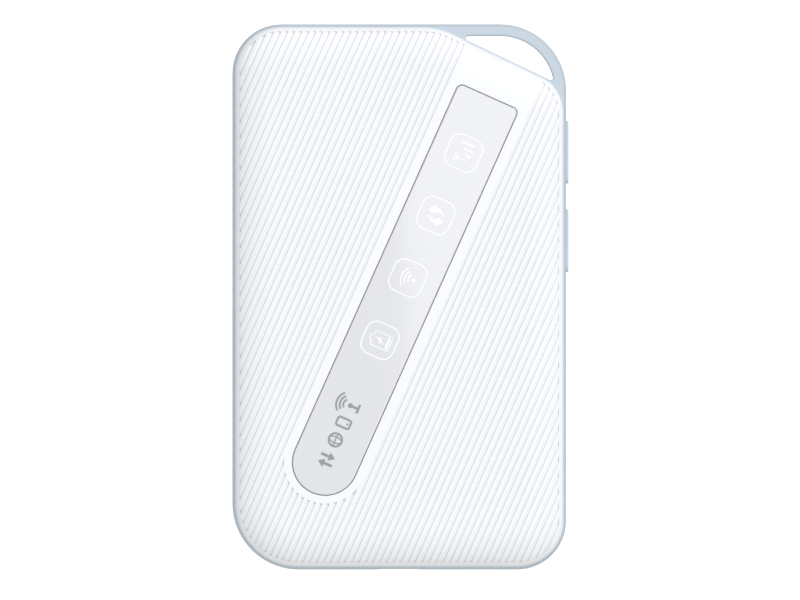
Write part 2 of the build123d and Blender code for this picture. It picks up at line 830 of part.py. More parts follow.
def make_case_screws():
    low = floor_back - screw_head_height
    long, short = screw_slot
    screws = []
    for x, y in screw_places():
        head = rod(x, y, screw_head_radius, low, floor_back)
        head = fillet(head.edges().sort_by(Axis.Z)[0], screw_head_rounding)
        screw = head + rod(x, y, screw_radius, floor_back, screw_tip)
        for dx, dy in ((long / 2, short / 2), (short / 2, long / 2)):
            screw -= block(x - dx, x + dx, y - dy, y + dy, low - 1, low + screw_slot_depth)
        screws.append(screw.solid())
    return Compound(screws)


def make_battery_foam():
    pad = RectangleRounded(foam_width, foam_length, foam_corner)
    return slab(Pos(foam_x, foam_y) * pad, battery_top + foam_gap, floor_back)


def make_all():
    parts = {
        "front_cover": make_front_cover(),
        "window_lens": make_window_lens(),
        "lens_tape": make_lens_tape(),
        "mid_frame": make_mid_frame(),
        "back_cover": make_back_cover(),
        "main_board": make_main_board(),
        "case_screws": make_case_screws(),
        "battery_foam": make_battery_foam(),
        "thermal_pad": make_thermal_pad(),
    }
    for name, y in key_places.items():
        parts[name + "_button"] = make_key(y)
        parts[name + "_switch"] = make_side_switch(y)
        parts[name + "_plunger"] = make_plunger(y)
    for group in (make_battery, make_contacts, make_socket, make_card_holder, make_reset):
        parts.update(group())
    for group in (make_board_parts, make_lights, make_aerials):
        parts.update(group())
    return parts


os.makedirs("parts", exist_ok=True)
for node, shape in make_all().items():
    shape.label = node
    export_step(shape, "parts/" + node + ".step")
    print(node, len(shape.solids()), round(shape.volume, 2))
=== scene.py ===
import math

import bmesh
import bpy
from mathutils import Matrix, Vector


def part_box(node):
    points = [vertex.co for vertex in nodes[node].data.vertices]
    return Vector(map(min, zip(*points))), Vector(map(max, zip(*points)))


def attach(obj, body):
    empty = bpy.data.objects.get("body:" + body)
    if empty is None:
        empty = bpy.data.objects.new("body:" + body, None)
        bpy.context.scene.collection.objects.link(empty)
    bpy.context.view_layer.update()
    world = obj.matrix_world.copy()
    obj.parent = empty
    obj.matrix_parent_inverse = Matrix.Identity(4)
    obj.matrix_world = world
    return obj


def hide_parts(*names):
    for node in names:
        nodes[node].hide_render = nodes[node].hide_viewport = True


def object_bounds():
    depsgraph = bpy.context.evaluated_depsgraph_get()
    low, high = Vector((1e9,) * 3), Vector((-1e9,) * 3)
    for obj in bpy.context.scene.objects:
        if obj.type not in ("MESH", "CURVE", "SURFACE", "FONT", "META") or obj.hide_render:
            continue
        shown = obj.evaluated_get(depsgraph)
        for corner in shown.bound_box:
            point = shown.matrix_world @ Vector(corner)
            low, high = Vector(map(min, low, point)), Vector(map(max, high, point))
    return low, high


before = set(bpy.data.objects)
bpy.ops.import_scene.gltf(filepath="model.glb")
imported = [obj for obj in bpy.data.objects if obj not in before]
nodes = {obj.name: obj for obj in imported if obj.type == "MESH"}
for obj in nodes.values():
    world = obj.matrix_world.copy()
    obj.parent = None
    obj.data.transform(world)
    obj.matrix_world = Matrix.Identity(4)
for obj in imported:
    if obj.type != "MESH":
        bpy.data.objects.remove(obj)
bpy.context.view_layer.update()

# Sizes are in millimetres here and are turned into metres when a mesh is made.
unit = 0.001
scene = bpy.context.scene


def limits(node):
    low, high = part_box(node)
    return low / unit, high / unit


def islands(node):  # the limits of each separate solid in a node
    shape = bmesh.new()
    shape.from_mesh(nodes[node].data)
    bmesh.ops.remove_doubles(shape, verts=shape.verts, dist=1e-7)
    left, found = set(shape.verts), []
    while left:
        group, queue = [], [left.pop()]
        while queue:
            vertex = queue.pop()
            group.append(vertex.co / unit)
            near = {edge.other_vert(vertex) for edge in vertex.link_edges} & left
            left -= near
            queue += near
        low = Vector([min(p[i] for p in group) for i in range(3)])
        high = Vector([max(p[i] for p in group) for i in range(3)])
        found.append((low, high))
    shape.free()
    return found


frameLow, frameHigh = limits("mid_frame")
shellLow, shellHigh = limits("front_cover")
lensLow, lensHigh = limits("window_lens")
boardFront = limits("main_board")[1].z
screwSpots = [((low + high) / 2, high.z) for low, high in islands("case_screws")]
lampSpots = sorted([(low + high) / 2 for low, high in islands("status_lamps")], key=lambda p: p.y)

# Outlines, seen from the front

case = {
    "halfWidth": frameHigh.x,
    "halfLength": frameHigh.y,
    "cornerSmall": 8.8,
    "cornerLarge": 11.9,
    "ledge": 0.6,  # the cover lies this far inside the frame
    "cutLedge": 0.16,
    "cutAcross": 23.93,  # the lanyard cut, along the top edge
    "cutDown": 11.46,  # and down the right edge
    "cutTopRadius": 12.5,
    "cutSideRadius": 7.8,
}

window = {
    "tilt": 24.1,  # degrees from the long axis
    "halfWidth": 6.0,
    "corner": 1.2,
    "gap": 0.18,  # round the lens
    "smallestCorner": -0.6,  # an outline further in than this keeps its corners
    "lensEdge": ((0.0, 0.12), (0.03, 0.05), (0.12, 0.0), (0.2, 0.0)),  # in, and down; the last keeps it flat
    "smoothAngle": 35,
}


def windowEnds():  # from the case's middle to the round end and to the straight one, out of the lens's limits
    sine, cosine = math.sin(math.radians(window["tilt"])), math.cos(math.radians(window["tilt"]))
    half = window["halfWidth"] - window["gap"]
    corner = window["corner"] - window["gap"]
    low = (-lensLow.y - half) / cosine + window["halfWidth"]
    high = (lensHigh.y - corner - (half - corner) * sine) / cosine + window["corner"]
    return low, high


def roundCorners(corners, radii, step=3.0):  # step in degrees of arc
    points = []
    for i, corner in enumerate(corners):
        here = Vector(corner)
        toBefore = (Vector(corners[i - 1]) - here).normalized()
        toAfter = (Vector(corners[(i + 1) % len(corners)]) - here).normalized()
        if radii[i] <= 0:
            points.append(here)
            continue
        half = toBefore.angle(toAfter) / 2
        centre = here + (toBefore + toAfter).normalized() * (radii[i] / math.sin(half))
        first = here + toBefore * (radii[i] / math.tan(half)) - centre
        turn = (math.pi - 2 * half) * (1 if toBefore.cross(toAfter) < 0 else -1)
        count = max(2, round(math.degrees(abs(turn)) / step))
        for k in range(count + 1):
            points.append(centre + Matrix.Rotation(turn * k / count, 2) @ first)
    return points


def coverOutline(inset):
    across, down = case["cutAcross"], case["cutDown"]
    x = case["halfWidth"] - inset
    y = case["halfLength"] - inset
    normal = Vector((down, across)).normalized()
    onCut = Vector((case["halfWidth"], case["halfLength"] - down))
    reach = normal.dot(onCut) - (inset - case["ledge"] + case["cutLedge"])
    cutTop = ((reach - normal.y * y) / normal.x, y)
    cutSide = (x, (reach - normal.x * x) / normal.y)
    small, large = case["cornerSmall"], case["cornerLarge"]
    radii = [small, case["cutTopRadius"], case["cutSideRadius"], small, large]
    corners = [(-x, y), cutTop, cutSide, (x, -y), (-x, -y)]
    return roundCorners(corners, [r - inset for r in radii])


def tilted(points, u=0.0, v=0.0):  # from the window's own axes (across, along) to the case's
    turn = Matrix.Rotation(-math.radians(window["tilt"]), 2)
    return [turn @ (Vector(p) + Vector((v, u))) for p in points]


def windowOutline(offset, high=None):
    half = window["halfWidth"] + offset
    low, straight = windowEnds()
    top = straight + offset if high is None else high
    bottom = -low - offset
    corner = window["corner"] + max(offset, window["smallestCorner"])
    side = half - 1e-4  # just short of a half circle
    corners = [(-half, top), (half, top), (half, bottom), (-half, bottom)]
    return tilted(roundCorners(corners, [corner, corner, side, side]))


# Mesh making


def toObject(mesh, name):
    piece = bpy.data.objects.new(name, mesh)
    scene.collection.objects.link(piece)
    return piece


def loft(name, rings):  # rings of (x, y, z), one above the other, closed at both ends
    shape = bmesh.new()
    rows = [[shape.verts.new(Vector(p) * unit) for p in ring] for ring in rings]
    for low, high in zip(rows, rows[1:]):
        for i in range(len(low)):
            k = (i + 1) % len(low)
            shape.faces.new((low[i], low[k], high[k], high[i]))
    shape.faces.new(list(reversed(rows[0])))
    shape.faces.new(rows[-1])
    bmesh.ops.recalc_face_normals(shape, faces=shape.faces)
    mesh = bpy.data.meshes.new(name)
    shape.to_mesh(mesh)
    shape.free()
    return toObject(mesh, name)


def prism(name, outline, low, high):
    return loft(name, [[(p[0], p[1], z) for p in outline] for z in (low, high)])


def circle(x, y, radius, count=32):
    turn = 2 * math.pi / count
    return [(x + radius * math.cos(turn * k), y + radius * math.sin(turn * k)) for k in range(count)]


def domeRings(inset, base, top, width, rise, steps):
    rings = [[(p.x, p.y, base) for p in coverOutline(inset)]]
    for k in range(steps + 1):
        angle = math.pi / 2 * k / steps
        level = top - rise + rise * math.sin(angle)
        rings.append([(p.x, p.y, level) for p in coverOutline(inset + width * (1 - math.cos(angle)))])
    return rings


def cut(target, tool, operation="DIFFERENCE"):
    modifier = target.modifiers.new("cut", "BOOLEAN")
    modifier.operation = operation
    modifier.solver = "MANIFOLD"
    modifier.material_mode = "TRANSFER"  # new faces keep the tool's finish
    modifier.object = tool
    shaped = bpy.data.meshes.new_from_object(target.evaluated_get(bpy.context.evaluated_depsgraph_get()))
    target.modifiers.clear()
    target.data = shaped
    bpy.data.objects.remove(tool)
    return target


def smooth(piece, angle):
    piece.data.polygons.foreach_set("use_smooth", [True] * len(piece.data.polygons))
    piece.data.set_sharp_from_angle(angle=math.radians(angle))


def dress(piece, material):
    piece.data.materials.clear()
    piece.data.materials.append(material)
    for face in piece.data.polygons:
        face.material_index = 0


# Materials

noiseRange = (0.3, 0.7)  # most of a noise's values lie between these

moulding = {
    "broadScale": 60.0,
    "broadDetail": 2.0,
    "grainScale": 5200.0,
    "grainDetail": 3.0,
    "grainHeight": 0.00002,
    "gloss": (0.88, 1.14),  # how far the grain varies the roughness
}

plating = {
    "streakScale": 900.0,
    "streakDetail": 5.0,
    "streakStrength": 0.15,
    "streakHeight": 0.00001,
    "darkest": 0.88,
    "gloss": (-0.06, 0.1),  # added to the roughness
}


def startMaterial(name, colour, roughness, **sockets):
    material = bpy.data.materials.new(name)
    material.use_nodes = True
    tree = material.node_tree
    shader = tree.nodes["Principled BSDF"]
    shader.inputs["Base Color"].default_value = (*colour, 1)
    shader.inputs["Roughness"].default_value = roughness
    for key, value in sockets.items():
        shader.inputs[key.replace("_", " ")].default_value = value
    return material, tree, shader


def addNoise(tree, scale, detail=4.0, stretch=(1, 1, 1)):
    place = tree.nodes.new("ShaderNodeTexCoord")
    mapping = tree.nodes.new("ShaderNodeMapping")
    mapping.inputs["Scale"].default_value = stretch
    noise = tree.nodes.new("ShaderNodeTexNoise")
    noise.inputs["Scale"].default_value = scale
    noise.inputs["Detail"].default_value = detail
    tree.links.new(place.outputs["Object"], mapping.inputs["Vector"])
    tree.links.new(mapping.outputs["Vector"], noise.inputs["Vector"])
    return noise.outputs["Fac"]


def addRange(tree, value, low, high):
    spread = tree.nodes.new("ShaderNodeMapRange")
    spread.inputs["From Min"].default_value = noiseRange[0]
    spread.inputs["From Max"].default_value = noiseRange[1]
    spread.inputs["To Min"].default_value = low
    spread.inputs["To Max"].default_value = high
    tree.links.new(value, spread.inputs["Value"])
    return spread.outputs["Result"]


def addTint(tree, shader, value, low, high):
    ramp = tree.nodes.new("ShaderNodeValToRGB")
    ramp.color_ramp.elements[0].position = noiseRange[0]
    ramp.color_ramp.elements[1].position = noiseRange[1]
    ramp.color_ramp.elements[0].color = (*low, 1)
    ramp.color_ramp.elements[1].color = (*high, 1)
    tree.links.new(value, ramp.inputs["Fac"])
    tree.links.new(ramp.outputs["Color"], shader.inputs["Base Color"])


def addBump(tree, shader, value, strength, distance):
    bump = tree.nodes.new("ShaderNodeBump")
    bump.inputs["Strength"].default_value = strength
    bump.inputs["Distance"].default_value = distance
    tree.links.new(value, bump.inputs["Height"])
    tree.links.new(bump.outputs["Normal"], shader.inputs["Normal"])


def mouldedPlastic(name, colour, roughness, grain=0.25, vary=0.02):
    material, tree, shader = startMaterial(name, colour, roughness)
    broad = addNoise(tree, moulding["broadScale"], moulding["broadDetail"])
    fine = addNoise(tree, moulding["grainScale"], moulding["grainDetail"])
    darker = [c * (1 - vary) for c in colour]
    lighter = [min(1.0, c * (1 + vary)) for c in colour]
    addTint(tree, shader, broad, darker, lighter)
    low, high = moulding["gloss"]
    tree.links.new(addRange(tree, fine, roughness * low, roughness * high), shader.inputs["Roughness"])
    addBump(tree, shader, fine, grain, moulding["grainHeight"])
    return material


def platedMetal(name, colour, roughness, brushed=(1, 1, 1)):
    material, tree, shader = startMaterial(name, colour, roughness, Metallic=1.0)
    streaks = addNoise(tree, plating["streakScale"], plating["streakDetail"], brushed)
    addTint(tree, shader, streaks, [c * plating["darkest"] for c in colour], colour)
    low, high = plating["gloss"]
    tree.links.new(addRange(tree, streaks, roughness + low, roughness + high), shader.inputs["Roughness"])
    addBump(tree, shader, streaks, plating["streakStrength"], plating["streakHeight"])
    return material


finishes = {
    "shell": mouldedPlastic("shellWhite", (0.90, 0.912, 0.935), 0.42, grain=0.2, vary=0.004),
    # painted shade: the channel floors and gentler walls are a touch darker than the shell for the shade in
    # the grooves
    "channel": mouldedPlastic("channelShadeWhite", (0.885, 0.897, 0.92), 0.5, grain=0.2, vary=0.006),
    # painted shade: the steeper wall of each channel is tinted darker grey for the shade that falls on it
    "steepWallShade": mouldedPlastic("steepWallShadeGrey", (0.68, 0.69, 0.74), 0.5, grain=0.2, vary=0.006),
    # painted shade: the ends of the channels, at the cover's edge and round the window, are tinted darker
    # grey for the shade in them
    "channelEndShade": mouldedPlastic("channelEndShadeGrey", (0.60, 0.615, 0.66), 0.55, grain=0.4, vary=0.01),
    "frame": mouldedPlastic("frameBlue", (0.532, 0.622, 0.70), 0.4, grain=0.22, vary=0.012),
    "key": mouldedPlastic("keyBlue", (0.545, 0.645, 0.725), 0.36, grain=0.15, vary=0.01),
    "lens": mouldedPlastic("windowGrey", (0.75, 0.76, 0.80), 0.03, grain=0.0, vary=0.004),
    "ink": mouldedPlastic("inkWhite", (0.93, 0.94, 0.96), 0.3, grain=0.05, vary=0.003),
    "mark": mouldedPlastic("inkGrey", (0.30, 0.305, 0.31), 0.35, grain=0.05, vary=0.02),
    "black": mouldedPlastic("mouldedBlack", (0.02, 0.02, 0.022), 0.5),
    "tape": mouldedPlastic("tapeDark", (0.05, 0.052, 0.055), 0.7),
    "ivory": mouldedPlastic("plungerIvory", (0.62, 0.58, 0.48), 0.4),
    "steel": platedMetal("platedSteel", (0.62, 0.63, 0.65), 0.3, (1, 6, 1)),
    "tin": platedMetal("tinPlate", (0.70, 0.71, 0.72), 0.34, (6, 1, 1)),
    "gold": platedMetal("contactGold", (0.83, 0.62, 0.28), 0.25),
    "foam": mouldedPlastic("foamBlack", (0.02, 0.02, 0.022), 0.95, grain=0.9),
    "pad": mouldedPlastic("thermalBlue", (0.30, 0.44, 0.58), 0.8, grain=0.5),
    "wrap": mouldedPlastic("batteryWrap", (0.045, 0.05, 0.06), 0.3, grain=0.3),
    "film": mouldedPlastic("diffusingFilm", (0.8, 0.82, 0.84), 0.5),
    "lamp": mouldedPlastic("lampYellow", (0.85, 0.80, 0.45), 0.2),
    "copper": platedMetal("aerialCopper", (0.72, 0.43, 0.20), 0.35),
}


circuit = {
    "green": (0.01, 0.12, 0.05),
    "roughness": 0.3,
    "trackScale": 450.0,
    "trackWidth": 0.03,
    "maskDark": (0.008, 0.10, 0.045, 1),
    "maskLight": (0.010, 0.125, 0.055, 1),
    "trackGreen": (0.03, 0.24, 0.10, 1),
    "trackStrength": 0.3,
    "trackHeight": 0.00003,
}


def boardGreen():
    material, tree, shader = startMaterial("boardGreen", circuit["green"], circuit["roughness"])
    place = tree.nodes.new("ShaderNodeTexCoord")
    tracks = tree.nodes.new("ShaderNodeTexBrick")
    tracks.inputs["Scale"].default_value = circuit["trackScale"]
    tracks.inputs["Mortar Size"].default_value = circuit["trackWidth"]
    tracks.inputs["Color1"].default_value = circuit["maskDark"]
    tracks.inputs["Color2"].default_value = circuit["maskLight"]
    tracks.inputs["Mortar"].default_value = circuit["trackGreen"]
    tree.links.new(place.outputs["Object"], tracks.inputs["Vector"])
    tree.links.new(tracks.outputs["Color"], shader.inputs["Base Color"])
    addBump(tree, shader, tracks.outputs["Fac"], circuit["trackStrength"], circuit["trackHeight"])
    return material


finishes["board"] = boardGreen()
print("materials made", len(finishes))

# Front cover with its channels

shell = {
    "seamDepth": 3.4,  # from the cover's top down to the frame
    "rollWidth": 6.5,
    "rollRise": 3.3,
    "rollSteps": 16,
    "wall": 1.2,
    "seatWidth": 1.2,  # round the window's recess
    "seatDepth": 1.05,
    "tape": 0.15,  # under the lens
    "lip": (1.95, 2.75),  # its outer and inner side, in from the frame's outline
    "lipHeight": 0.9,  # over the seam
    "bossRadius": 1.9,
    "pilotRadius": 0.82,
    "pilotSpare": 0.3,  # beyond the screw's tip
    "lightHole": 2.8,  # half its side
    "lightHoleCorner": 1.6,
    "smoothAngle": 28,
}

channels = {
    "pitch": 1.15,
    "topWidth": 0.58,
    "floorWidth": 0.14,
    "lean": 0.12,  # the floor lies this far off the middle, so one wall is steeper
    "depth": 0.24,
    "count": 79,
    "length": 128.0,
    "step": 1.0,
    "border": 0.76,  # kept smooth inside the cover's edge
    "windowBorder": 1.41,  # and round the window
    "endSlope": 0.8,  # how far an end wall leans out, for its height
    "skirt": 4.0,  # the guide goes on this far past the cover's edge
    "skirtOverlap": 0.3,  # where the skirt takes over from the roll
    "steepFacing": 0.75,  # a wall that faces across by more than this is a steep one, and is given the darker grey of painted shade
    "fieldHeight": 4.0,
    "windowRings": ((-4.0, -0.3), (-0.3, -0.3), (1.0, 1.0)),  # over the cover's top, and step out
    "pastWindow": 70.0,  # the smooth strip runs on past the cover's edge
}


def guideSurface():
    edge = case["ledge"]
    width, rise = shell["rollWidth"], shell["rollRise"]
    top = shellHigh.z
    skirt, overlap = channels["skirt"], channels["skirtOverlap"]
    share = (width - overlap) / width
    level = top - rise + rise * math.sqrt(1 - share * share)
    slope = rise / width * share / math.sqrt(1 - share * share)
    rings = [[(p.x, p.y, 0.0) for p in coverOutline(edge - skirt)]]
    rings.append([(p.x, p.y, level - slope * (skirt + overlap)) for p in coverOutline(edge - skirt)])
    count = shell["rollSteps"] * 2
    start = math.acos(share)
    for k in range(count + 1):
        angle = start + (math.pi / 2 - start) * k / count
        inset = edge + width * (1 - math.cos(angle))
        rings.append([(p.x, p.y, top - rise + rise * math.sin(angle)) for p in coverOutline(inset)])
    return loft("guideSurface", rings)


def channelTree():
    tree = bpy.data.node_groups.new("channelCutters", "GeometryNodeTree")
    wanted = [("Pitch", "Float"), ("Top Width", "Float"), ("Floor Width", "Float"), ("Depth", "Float")]
    wanted += [("Length", "Float"), ("Step", "Float"), ("Tilt", "Float"), ("Lean", "Float"), ("Count", "Int")]
    wanted += [("Surface", "Object"), ("Finish", "Material"), ("Wall Shade Finish", "Material")]
    for name, kind in wanted:
        tree.interface.new_socket(name, in_out="INPUT", socket_type="NodeSocket" + kind)
    tree.interface.new_socket("Geometry", in_out="OUTPUT", socket_type="NodeSocketGeometry")
    make, join = tree.nodes.new, tree.links.new
    rayHeight, rayLength = 0.05, 1.0  # in metres, from over the case down through it
    given = make("NodeGroupInput").outputs

    def math2(operation, a, b):
        node = make("ShaderNodeMath")
        node.operation = operation
        for socket, value in zip(node.inputs, (a, b)):
            if isinstance(value, (int, float)):
                socket.default_value = value
            else:
                join(value, socket)
        return node.outputs[0]

    def vector(x=None, y=None, z=None):
        node = make("ShaderNodeCombineXYZ")
        for socket, value in zip(node.inputs, (x, y, z)):
            if value is not None:
                join(value, socket)
        return node.outputs[0]

    half = math2("MULTIPLY", given["Length"], 0.5)
    line = make("GeometryNodeCurvePrimitiveLine")
    join(vector(y=math2("MULTIPLY", half, -1.0)), line.inputs["Start"])
    join(vector(y=half), line.inputs["End"])
    spaced = make("GeometryNodeResampleCurve")
    spaced.mode = "LENGTH"
    join(line.outputs[0], spaced.inputs["Curve"])
    join(given["Step"], spaced.inputs["Length"])
    section = make("GeometryNodeCurvePrimitiveQuadrilateral")  # goes as far over the surface as into it
    section.mode = "TRAPEZOID"
    flare = math2("SUBTRACT", given["Top Width"], given["Floor Width"])
    join(math2("ADD", given["Top Width"], flare), section.inputs["Bottom Width"])  # turned over by the sweep
    join(given["Floor Width"], section.inputs["Top Width"])
    join(math2("MULTIPLY", given["Depth"], 2.0), section.inputs["Height"])
    join(math2("MULTIPLY", given["Lean"], 2.0), section.inputs["Offset"])
    bar = make("GeometryNodeCurveToMesh")
    bar.inputs["Fill Caps"].default_value = True
    join(spaced.outputs[0], bar.inputs["Curve"])
    join(section.outputs[0], bar.inputs["Profile Curve"])
    row = make("GeometryNodeMeshLine")
    count = given["Count"]
    first = math2("MULTIPLY", math2("MULTIPLY", math2("SUBTRACT", count, 1.0), -0.5), given["Pitch"])
    join(count, row.inputs["Count"])
    join(vector(x=math2("SUBTRACT", first, given["Lean"])), row.inputs["Start Location"])
    join(vector(x=given["Pitch"]), row.inputs["Offset"])
    copies = make("GeometryNodeInstanceOnPoints")
    join(row.outputs[0], copies.inputs["Points"])
    join(bar.outputs[0], copies.inputs["Instance"])
    real = make("GeometryNodeRealizeInstances")
    join(copies.outputs[0], real.inputs[0])
    turned = make("GeometryNodeTransform")
    join(real.outputs[0], turned.inputs["Geometry"])
    join(vector(z=math2("MULTIPLY", given["Tilt"], -1.0)), turned.inputs["Rotation"])
    place = make("GeometryNodeInputPosition")
    parts = make("ShaderNodeSeparateXYZ")
    join(place.outputs[0], parts.inputs[0])
    above = make("ShaderNodeCombineXYZ")
    join(parts.outputs["X"], above.inputs["X"])
    join(parts.outputs["Y"], above.inputs["Y"])
    above.inputs["Z"].default_value = rayHeight
    surface = make("GeometryNodeObjectInfo")
    join(given["Surface"], surface.inputs["Object"])
    ray = make("GeometryNodeRaycast")
    join(surface.outputs["Geometry"], ray.inputs["Target Geometry"])
    join(above.outputs[0], ray.inputs["Source Position"])
    ray.inputs["Ray Direction"].default_value = (0, 0, -1)
    ray.inputs["Ray Length"].default_value = rayLength
    hit = make("ShaderNodeSeparateXYZ")
    join(ray.outputs["Hit Position"], hit.inputs[0])
    moved = make("GeometryNodeSetPosition")
    join(turned.outputs[0], moved.inputs["Geometry"])
    join(vector(z=hit.outputs["Z"]), moved.inputs["Offset"])
    flat = make("GeometryNodeRealizeInstances")
    join(moved.outputs[0], flat.inputs[0])
    finish = make("GeometryNodeSetMaterial")
    join(flat.outputs[0], finish.inputs["Geometry"])
    join(given["Finish"], finish.inputs["Material"])
    across = make("ShaderNodeVectorRotate")
    across.rotation_type = "Z_AXIS"
    across.inputs["Vector"].default_value = (1, 0, 0)
    join(math2("MULTIPLY", given["Tilt"], -1.0), across.inputs["Angle"])
    faces = make("ShaderNodeVectorMath")
    faces.operation = "DOT_PRODUCT"
    join(make("GeometryNodeInputNormal").outputs[0], faces.inputs[0])
    join(across.outputs[0], faces.inputs[1])
    wallShade = make("GeometryNodeSetMaterial")  # the steeper wall of each channel, painted darker grey as shade
    join(finish.outputs[0], wallShade.inputs["Geometry"])
    inWallShade = math2("GREATER_THAN", faces.outputs["Value"], channels["steepFacing"])
    join(inWallShade, wallShade.inputs["Selection"])
    join(given["Wall Shade Finish"], wallShade.inputs["Material"])
    join(wallShade.outputs[0], make("NodeGroupOutput").inputs[0])
    return tree


def setInputs(modifier, values):
    for socket in modifier.node_group.interface.items_tree:
        if socket.in_out == "INPUT" and socket.name in values:
            modifier[socket.identifier] = values[socket.name]


def grow(name, tree, values):  # a tree's result as a plain mesh
    seed = toObject(bpy.data.meshes.new(name), name)
    modifier = seed.modifiers.new("grow", "NODES")
    modifier.node_group = tree
    setInputs(modifier, values)
    grown = bpy.data.meshes.new_from_object(seed.evaluated_get(bpy.context.evaluated_depsgraph_get()))
    seed.modifiers.clear()
    seed.data = grown
    return seed


def makeChannels():
    guide = guideSurface()
    sizes = {
        "Pitch": channels["pitch"] * unit,
        "Top Width": channels["topWidth"] * unit,
        "Floor Width": channels["floorWidth"] * unit,
        "Depth": channels["depth"] * unit,
        "Lean": channels["lean"] * unit,
        "Length": channels["length"] * unit,
        "Step": channels["step"] * unit,
        "Tilt": math.radians(window["tilt"]),
        "Count": channels["count"],
        "Surface": guide,
        # the channels' slightly darker white is painted shade
        "Finish": finishes["channel"],
        # the steeper walls take a darker grey that is painted shade
        "Wall Shade Finish": finishes["steepWallShade"],
    }
    bars = grow("channelBars", channelTree(), sizes)
    bpy.data.objects.remove(guide)
    slope, border, clearance = channels["endSlope"], channels["border"], channels["windowBorder"]
    share = 1 - border / shell["rollWidth"]
    edgeLevel = shellHigh.z - shell["rollRise"] * (1 - math.sqrt(1 - share * share))
    rings = []
    for step in (-1.0, 1.0):
        outline = coverOutline(case["ledge"] + border - slope * step)
        rings.append([(p.x, p.y, edgeLevel + step) for p in outline])
    rings.append([(x, y, z + channels["fieldHeight"]) for x, y, z in rings[-1]])
    field = loft("channelField", rings)
    # the channel ends here take the darker grey of painted shade
    dress(field, finishes["channelEndShade"])
    cut(bars, field, "INTERSECT")
    rings = []
    for level, step in channels["windowRings"]:
        outline = windowOutline(clearance - slope * step, high=channels["pastWindow"])
        rings.append([(p.x, p.y, shellHigh.z + level) for p in outline])
    clear = loft("windowClear", rings)
    # and so do the channel ends round the window, painted darker grey as shade
    dress(clear, finishes["channelEndShade"])
    return cut(bars, clear)


def makeFrontCover():
    edge, wall, steps = case["ledge"], shell["wall"], shell["rollSteps"]
    width, rise = shell["rollWidth"], shell["rollRise"]
    top = shellHigh.z
    seam = top - shell["seamDepth"]
    cover = loft("frontCover", domeRings(edge, seam, top, width, rise, steps))
    dress(cover, finishes["shell"])
    cavity = domeRings(edge + wall, seam - 1, top - wall, width - wall, rise - wall, steps)
    cut(cover, loft("cavity", cavity))
    under = top - wall / 2  # halfway into the cover's wall
    seatTop = lensLow.z - shell["tape"]
    cut(cover, prism("seat", windowOutline(shell["seatWidth"]), seatTop - shell["seatDepth"], under), "UNION")
    outer, inner = shell["lip"]
    ring = prism("lip", coverOutline(outer), shellLow.z, seam + shell["lipHeight"])
    cut(ring, prism("inner", coverOutline(inner), shellLow.z - 1, seam + 2))
    cut(cover, ring, "UNION")
    for spot, tip in screwSpots:
        boss = circle(spot.x, spot.y, shell["bossRadius"])
        cut(cover, prism("boss", boss, boardFront, under), "UNION")
        pilot = circle(spot.x, spot.y, shell["pilotRadius"])
        cut(cover, prism("pilot", pilot, boardFront - 1, tip + shell["pilotSpare"]))
    cut(cover, prism("recess", windowOutline(0.0), seatTop, top + 1))
    half = shell["lightHole"]
    corners = [(-half, half), (half, half), (half, -half), (-half, -half)]
    hole = roundCorners(corners, [shell["lightHoleCorner"]] * 4, 9)
    for place in lampPlaces:
        cut(cover, prism("lightHole", tilted(hole, u=place), seatTop - 2, seatTop + 1))
    cut(cover, makeChannels())
    smooth(cover, shell["smoothAngle"])
    return cover


windowAxis = Vector((math.sin(math.radians(window["tilt"])), math.cos(math.radians(window["tilt"]))))
lampPlaces = [spot.xy.dot(windowAxis) for spot in lampSpots]  # along the window
frontCover = makeFrontCover()
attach(frontCover, "root")
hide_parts("front_cover")
print("front cover", len(frontCover.data.polygons), "faces")

# Window with its pictograms

glyphs = {
    "line": 0.26,
    "thin": 0.2,
    "square": 6.1,
    "squareCorner": 1.85,
    "thickness": 0.03,
    "sink": 0.01,  # the ink reaches this far into the lens
    "wave": 0.3,
    "outerWave": 0.34,
    "globeRing": 0.36,
    "globeLine": 0.24,
    "phone": 0.38,
    "mast": 0.44,
}


def makeLens():
    top, low = lensHigh.z, lensLow.z
    gap = window["gap"]
    levels = [(-gap, low)] + [(-gap - inward, top - down) for inward, down in window["lensEdge"]]
    rings = [[(p.x, p.y, z) for p in windowOutline(offset)] for offset, z in levels]
    return loft("windowLens", rings)


def ribbon(points, width, closed):  # both edges of a line of even width
    points = [Vector(p) for p in points]
    left, right = [], []
    last = len(points) - 1
    for i, here in enumerate(points):
        before = points[i - 1] if closed or i else here
        after = points[(i + 1) % len(points)] if closed or i < last else here
        ahead = (after - here).normalized() if after != here else (here - before).normalized()
        behind = (here - before).normalized() if before != here else ahead
        across = (ahead + behind).normalized().orthogonal()
        stretch = min(2.0, 1 / max(0.3, across.dot(ahead.orthogonal())))
        left.append(here + across * (width / 2 * stretch))
        right.append(here - across * (width / 2 * stretch))
    return left, right


def ribbonSolid(points, width, closed, place, low, high):
    left, right = ribbon(points, width, closed)
    left, right = (tilted(side, u=place[0], v=place[1]) for side in (left, right))
    shape = bmesh.new()
    rows = []
    for side, level in ((left, low), (left, high), (right, high), (right, low)):
        rows.append([shape.verts.new((p.x * unit, p.y * unit, level * unit)) for p in side])
    count = len(points) if closed else len(points) - 1
    for i in range(count):
        k = (i + 1) % len(points)
        for a, b in zip(rows, rows[1:] + rows[:1]):
            shape.faces.new((a[i], a[k], b[k], b[i]))
    if not closed:
        shape.faces.new([row[0] for row in rows])
        shape.faces.new([row[-1] for row in reversed(rows)])
    bmesh.ops.recalc_face_normals(shape, faces=shape.faces)
    mesh = bpy.data.meshes.new("stroke")
    shape.to_mesh(mesh)
    shape.free()
    return toObject(mesh, "stroke")


def arcPoints(cx, cy, radius, first, last, count=16):
    steps = [math.radians(first + (last - first) * k / count) for k in range(count + 1)]
    return [(cx + radius * math.cos(a), cy + radius * math.sin(a)) for a in steps]


